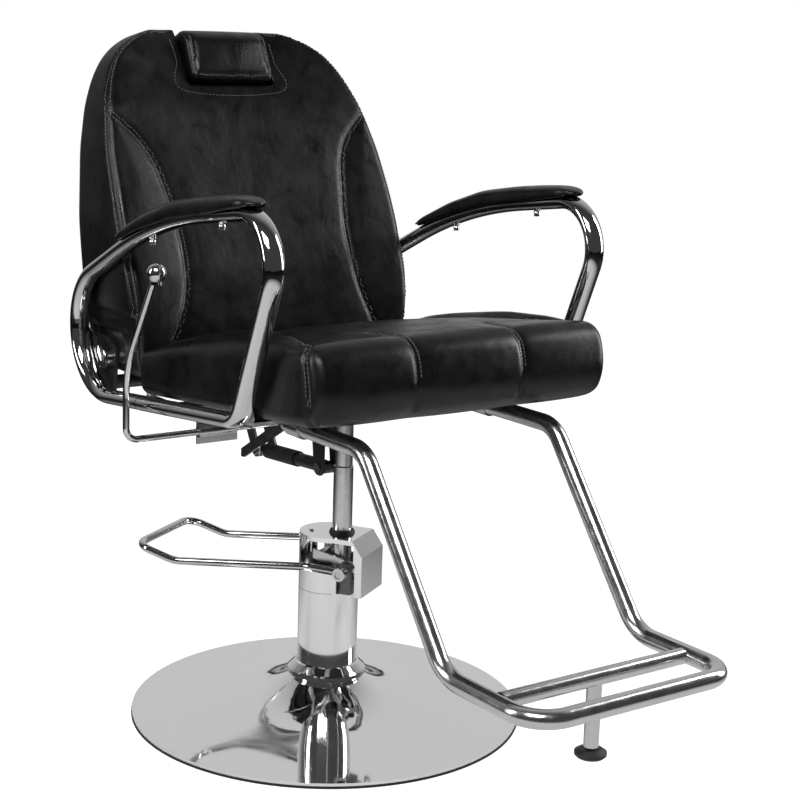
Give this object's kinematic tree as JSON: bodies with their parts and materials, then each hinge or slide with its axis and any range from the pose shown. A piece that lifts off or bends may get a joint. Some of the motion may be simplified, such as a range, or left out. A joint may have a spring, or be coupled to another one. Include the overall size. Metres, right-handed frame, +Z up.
{
  "type": "styling chair",
  "caption": "Reclining styling chair with loop arms and a tube footrest, on a foot-pumped hydraulic post and a round base.",
  "frame": {"origin": "on the axis of the lifting post at floor level, on the flat underside of the base", "axes": "+Z up along the post; the sitter faces -Y; +X is the sitter's left"},
  "size_m": [0.614, 1.1006, 1.0432],
  "materials": {
    "chrome": "polished",
    "chrome_frame": "polished",
    "satin_steel": "satin",
    "dark_steel": "satin",
    "painted_black": "satin",
    "iron": "matte",
    "black_leather": "satin",
    "foam": "matte",
    "plywood": "matte",
    "black_plastic": "satin",
    "rubber": "matte"
  },
  "bodies": {
    "root": {"base_weight_plate": "iron", "base_edge_trim": "rubber", "base_dome": "chrome", "column_collar": "chrome", "base_bolts": "dark_steel", "column_cover": "chrome", "oil_tank": "painted_black", "lift_cylinder": "dark_steel", "pump_valve_block": "dark_steel", "pump_head_cover": "chrome", "post_wiper_ring": "rubber", "head_cover_screw": "satin_steel"},
    "plunger": {"pump_plunger": "satin_steel", "plunger_spring": "dark_steel"},
    "pedal": {"pedal_axle": "satin_steel", "pedal_frame": "chrome_frame", "pedal_yoke": "satin_steel", "plunger_roller": "satin_steel"},
    "lift": {"lift_piston": "dark_steel"},
    "chair": {"piston_rod": "satin_steel", "post_socket": "painted_black", "seat_plate": "painted_black", "seat_rails": "painted_black", "front_cross_bar": "satin_steel", "rear_cross_bar": "satin_steel", "spring_clevis": "painted_black", "spring_front_pin": "satin_steel", "arm_tube_left": "chrome_frame", "arm_tube_right": "chrome_frame", "arm_pad_left": "black_leather", "arm_pad_right": "black_leather", "arm_pad_screws": "satin_steel", "arm_bolts": "satin_steel", "hinge_brackets": "chrome_frame", "hinge_pins": "chrome_frame", "lever_bracket": "satin_steel", "lever_sleeve": "satin_steel", "footrest_frame": "satin_steel", "footrest_tread": "satin_steel", "footrest_clamps": "satin_steel", "seat_board": "plywood", "seat_cover": "black_leather", "seat_foam": "foam", "seat_spacers": "black_plastic"},
    "foot": {"leveling_foot": "black_plastic"},
    "back": {"back_frame": "painted_black", "crank_plates": "satin_steel", "back_board": "plywood", "back_cover": "black_leather", "back_foam": "foam", "back_arm_screws": "satin_steel", "headrest_sleeve": "black_plastic"},
    "headrest": {"headrest_cushion": "black_leather", "headrest_blade": "satin_steel"},
    "gas_cylinder": {"gas_spring_cylinder": "painted_black"},
    "gas_rod": {"gas_spring_rod": "satin_steel", "gas_spring_sleeve": "rubber"},
    "lever": {"recline_lever_rod": "chrome_frame", "recline_lever_knob": "chrome_frame", "release_bar": "satin_steel"}
  },
  "joints": [
    {"name": "lift_slide", "type": "slide", "parent": "root", "child": "lift", "axis": [0, 0, 1], "range_m": [-0.05, 0.07]},
    {"name": "seat_swivel", "type": "hinge", "parent": "lift", "child": "chair", "pos_m": [0, 0, 0.45], "axis": [0, 0, 1], "continuous": true},
    {"name": "pedal_pivot", "type": "hinge", "parent": "root", "child": "pedal", "pos_m": [0.01161, -0.01857, 0.238], "axis": [0.848, 0.5299, 0], "range_deg": [-14, 0], "stiffness_Nm_per_rad": 6, "springref_deg": 20.05},
    {"name": "plunger_slide", "type": "slide", "parent": "root", "child": "plunger", "axis": [0, 0, 1], "range_m": [-0.0142, 0], "deforming": ["plunger_spring"]},
    {"name": "back_recline", "type": "hinge", "parent": "chair", "child": "back", "pos_m": [0, 0.297, 0.526], "axis": [-1, 0, 0], "range_deg": [0, 30]},
    {"name": "headrest_slide", "type": "slide", "parent": "back", "child": "headrest", "axis": [0, 0.4067, 0.9135], "range_m": [0, 0.07]},
    {"name": "gas_tilt", "type": "hinge", "parent": "chair", "child": "gas_cylinder", "pos_m": [0, 0.045, 0.379], "axis": [1, 0, 0], "range_deg": [0, 21.5]},
    {"name": "gas_stroke", "type": "slide", "parent": "gas_cylinder", "child": "gas_rod", "axis": [0, 0.9979, -0.0654], "range_m": [-0.0662, 0]},
    {"name": "lever_pull", "type": "hinge", "parent": "chair", "child": "lever", "pos_m": [-0.1, 0.118, 0.439], "axis": [-1, 0, 0], "range_deg": [0, 12], "stiffness_Nm_per_rad": 6, "springref_deg": -14.32},
    {"name": "foot_adjust", "type": "slide", "parent": "chair", "child": "foot", "axis": [0, 0, -1], "range_m": [0, 0.04]}
  ],
  "couplings": [
    {"joint": "plunger_slide", "follows": "pedal_pivot", "m_per_rad": 0.0545},
    {"joint": "gas_tilt", "follows": "back_recline", "ratio": 0.71},
    {"joint": "gas_stroke", "follows": "back_recline", "m_per_rad": -0.126}
  ]
}
